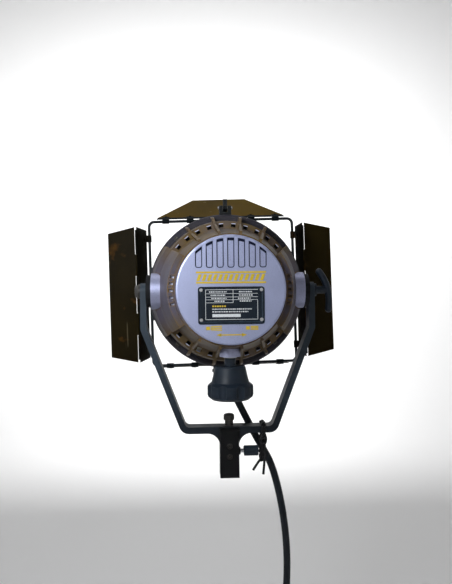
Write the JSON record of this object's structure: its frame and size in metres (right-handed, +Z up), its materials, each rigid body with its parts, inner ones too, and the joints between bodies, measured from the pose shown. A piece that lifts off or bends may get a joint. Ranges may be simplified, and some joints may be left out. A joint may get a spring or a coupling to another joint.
{
  "type": "fresnel spotlight",
  "caption": "Studio fresnel spotlight head in a tilting yoke with stand socket, focusing lamp carriage, hinged lens front, rotating barndoors and power cable.",
  "frame": {"origin": "centre of the stand socket's mouth at the bottom of the yoke stem", "axes": "+Z up along the socket bore, +Y along the light beam, +X to the right seen from behind the lamp"},
  "size_m": [0.4222, 0.3516, 0.8746],
  "materials": {
    "yoke_paint": "satin black paint on cast aluminium",
    "cap_paint": "fine textured purple-grey paint on cast aluminium",
    "ring_paint": "fine textured dark grey paint on cast aluminium",
    "hammered_silver": "hammered metallic paint on cast aluminium",
    "cast_silver": "hammered metallic paint on cast aluminium",
    "plate_black": "printed plate",
    "rivet_aluminium": "bare",
    "bright_steel": "turned",
    "black_screw": "blackened steel",
    "zinc_steel": "zinc plated",
    "brass": "turned",
    "fibre_black": "pressed fibre",
    "black_plastic": "fine moulded grain",
    "tie_black": "coated wire",
    "cable_rubber": "matt rubber",
    "plug_black": "moulded",
    "sheet_aluminium": "mill finish",
    "ceramic_white": "unglazed",
    "quartz": "clear",
    "mirror_aluminium": "polished",
    "latch_paint": "satin black paint",
    "lens_glass": "stepped lens, stippled back",
    "guard_steel": "plated wire",
    "barndoor_black": "satin black paint",
    "leaf_black": "heat-worn black paint"
  },
  "bodies": {
    "yoke": {"yoke": "yoke_paint", "socket_bush": "bright_steel", "socket_set_screws": "black_screw", "spigot_stop_screw": "black_screw", "pivot_bolt": "black_screw", "friction_disc_left": "fibre_black", "friction_disc_right": "fibre_black", "cable_tie": "tie_black", "cord_upper": "cable_rubber", "cord_lower": "cable_rubber", "cord_coil": "cable_rubber", "power_plug": "plug_black"},
    "tilt_handle": {"tilt_handle": "black_plastic"},
    "stand_clamp_pad": {"clamp_pad": "brass"},
    "stand_clamp_screw": {"clamp_screw": "zinc_steel", "clamp_knob": "black_plastic"},
    "head": {"rear_cap": "cap_paint", "rear_disc": "hammered_silver", "data_plate": "plate_black", "data_plate_rivets": "rivet_aluminium", "housing_ring": "ring_paint", "housing_screws": "black_screw", "tilt_boss_left": "cast_silver", "tilt_boss_right": "cast_silver", "focus_boss": "cast_silver", "focus_washer": "zinc_steel", "cable_gland": "plug_black", "strain_relief": "cable_rubber", "guide_rods": "bright_steel", "rear_rail_bracket": "sheet_aluminium", "front_rail_bracket": "sheet_aluminium", "terminal_block": "ceramic_white", "latch_block": "latch_paint", "latch_pin": "zinc_steel", "door_hinge_bracket": "latch_paint", "door_hinge_pin": "bright_steel"},
    "latch_lever": {"latch_lever": "latch_paint"},
    "focus_knob": {"focus_knob": "black_plastic", "focus_pinion_shaft": "bright_steel"},
    "lamp_carriage": {"carriage": "sheet_aluminium", "carriage_rack": "bright_steel", "lamp_socket": "ceramic_white", "lamp_base": "ceramic_white", "lamp_bulb": "quartz", "reflector": "mirror_aluminium"},
    "front": {"front_barrel": "ring_paint", "lens_holder": "ring_paint", "fresnel_lens": "lens_glass", "wire_guard": "guard_steel", "accessory_ears": "barndoor_black"},
    "barndoor": {"barndoor_ring": "barndoor_black", "barndoor_rods": "barndoor_black", "barndoor_brackets": "barndoor_black"},
    "top_leaf": {"top_leaf": "leaf_black"},
    "bottom_leaf": {"bottom_leaf": "leaf_black"},
    "left_leaf": {"left_leaf": "leaf_black"},
    "right_leaf": {"right_leaf": "leaf_black"},
    "left_flap": {"left_flap": "leaf_black"},
    "right_flap": {"right_flap": "leaf_black"}
  },
  "joints": [
    {"name": "head_tilt", "type": "hinge", "parent": "yoke", "child": "head", "pos_m": [0, 0, 0.272], "axis": [1, 0, 0], "range_deg": [-40, 50], "deforming": ["cord_upper"]},
    {"name": "tilt_handle_turn", "type": "hinge", "parent": "yoke", "child": "tilt_handle", "pos_m": [0.13, 0, 0.272], "axis": [1, 0, 0], "range_deg": [-180, 0]},
    {"name": "clamp_pad_slide", "type": "slide", "parent": "yoke", "child": "stand_clamp_pad", "axis": [-1, 0, 0], "range_m": [0, 0.0015]},
    {"name": "clamp_screw_turn", "type": "hinge", "parent": "stand_clamp_pad", "child": "stand_clamp_screw", "pos_m": [0.02, 0, 0.035], "axis": [-1, 0, 0], "range_deg": [0, 540]},
    {"name": "latch_turn", "type": "hinge", "parent": "head", "child": "latch_lever", "pos_m": [0, 0.056, 0.4032], "axis": [1, 0, 0], "range_deg": [0, 75]},
    {"name": "focus_turn", "type": "hinge", "parent": "head", "child": "focus_knob", "pos_m": [0, -0.052, 0.152], "axis": [0, 0, 1], "range_deg": [-150, 150]},
    {"name": "lamp_slide", "type": "slide", "parent": "head", "child": "lamp_carriage", "axis": [0, 1, 0], "range_m": [-0.021, 0.021]},
    {"name": "front_open", "type": "hinge", "parent": "head", "child": "front", "pos_m": [0, 0.0622, 0.146], "axis": [-1, 0, 0], "range_deg": [0, 90]},
    {"name": "barndoor_turn", "type": "hinge", "parent": "front", "child": "barndoor", "pos_m": [0, 0.13, 0.272], "axis": [0, 1, 0], "continuous": true},
    {"name": "top_leaf_fold", "type": "hinge", "parent": "barndoor", "child": "top_leaf", "pos_m": [-0.00287, 0.165, 0.39847], "axis": [-0.9997, 0, -0.0227], "range_deg": [-58, 117]},
    {"name": "bottom_leaf_fold", "type": "hinge", "parent": "barndoor", "child": "bottom_leaf", "pos_m": [0.00287, 0.165, 0.14553], "axis": [0.9997, 0, 0.0227], "range_deg": [-87, 88]},
    {"name": "right_leaf_fold", "type": "hinge", "parent": "barndoor", "child": "right_leaf", "pos_m": [0.12647, 0.165, 0.27487], "axis": [0.0227, 0, -0.9997], "range_deg": [-112, 70]},
    {"name": "left_leaf_fold", "type": "hinge", "parent": "barndoor", "child": "left_leaf", "pos_m": [-0.12647, 0.165, 0.26913], "axis": [-0.0227, 0, 0.9997], "range_deg": [-112, 70]},
    {"name": "right_flap_fold", "type": "hinge", "parent": "right_leaf", "child": "right_flap", "pos_m": [0.15648, 0.22621, 0.27555], "axis": [0.0227, 0, -0.9997], "range_deg": [-68, 67]},
    {"name": "left_flap_fold", "type": "hinge", "parent": "left_leaf", "child": "left_flap", "pos_m": [-0.15648, 0.22621, 0.26845], "axis": [-0.0227, 0, 0.9997], "range_deg": [-68, 67]}
  ],
  "couplings": [
    {"joint": "lamp_slide", "follows": "focus_turn", "m_per_rad": 0.008},
    {"joint": "clamp_screw_turn", "follows": "clamp_pad_slide", "rad_per_m": 6283.2}
  ]
}
